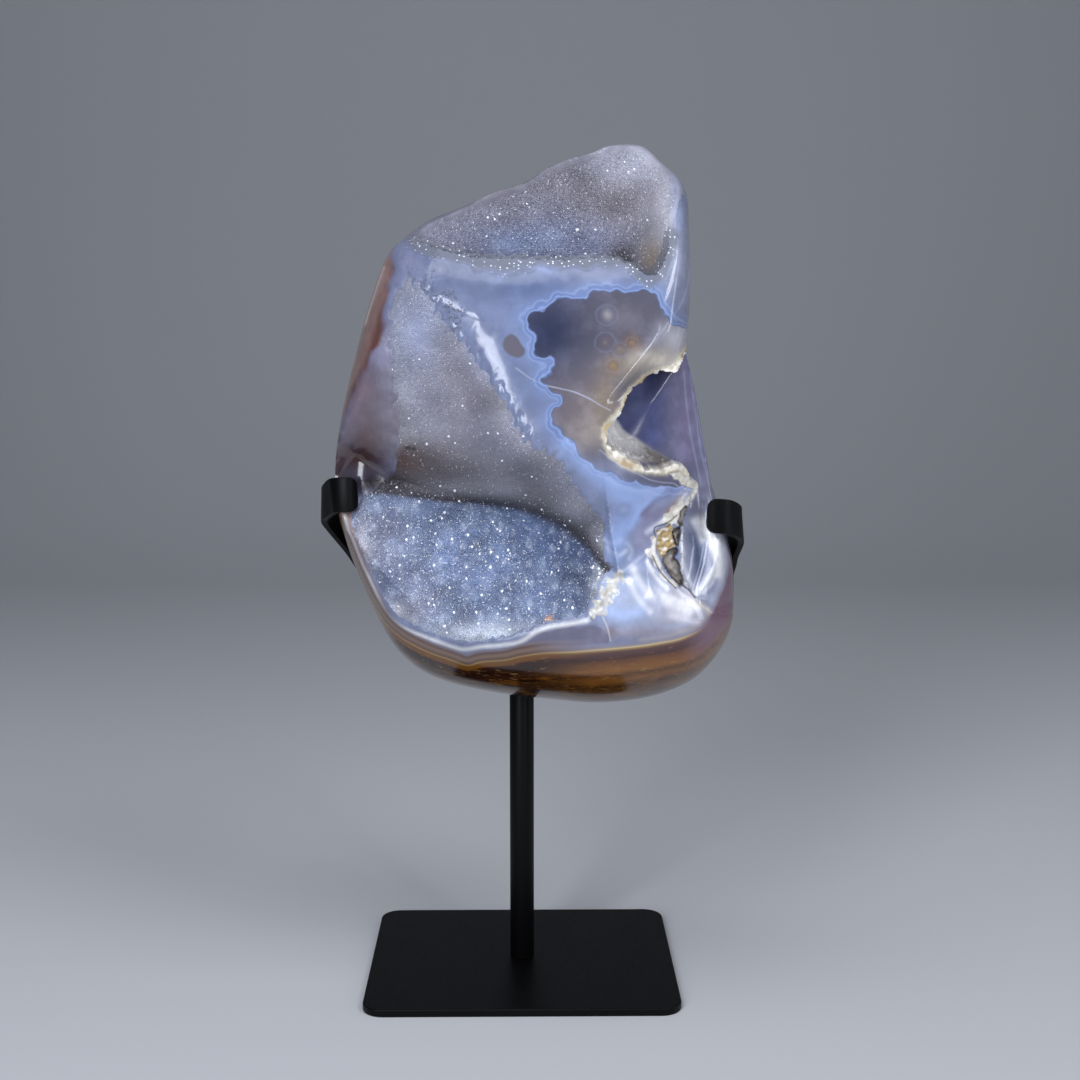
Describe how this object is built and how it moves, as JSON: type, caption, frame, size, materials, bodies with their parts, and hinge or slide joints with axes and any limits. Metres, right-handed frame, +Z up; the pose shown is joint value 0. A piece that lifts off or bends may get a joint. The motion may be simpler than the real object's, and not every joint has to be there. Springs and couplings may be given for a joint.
{
  "type": "agate geode on stand",
  "caption": "Upright polished agate with crystal-lined hollows, held by a bent flat bar on a rod and base plate.",
  "frame": {"origin": "centre of the base plate's underside", "axes": "+Z up, the stone's hollowed face towards -Y, +X to the right as seen from the front"},
  "size_m": [0.159, 0.1097, 0.32],
  "materials": {
    "polished_agate": "polished blue-grey chalcedony with a brown rind",
    "quartz_druzy": "sparkling grey-blue crystals",
    "black_painted_steel": "matte black powder coat"
  },
  "bodies": {
    "root": {"agate_stone": "polished_agate", "front_druzy": "quartz_druzy", "niche_druzy": "quartz_druzy", "side_druzy": "quartz_druzy", "cradle_bar": "black_painted_steel", "rod": "black_painted_steel", "base_plate": "black_painted_steel"}
  },
  "joints": []
}
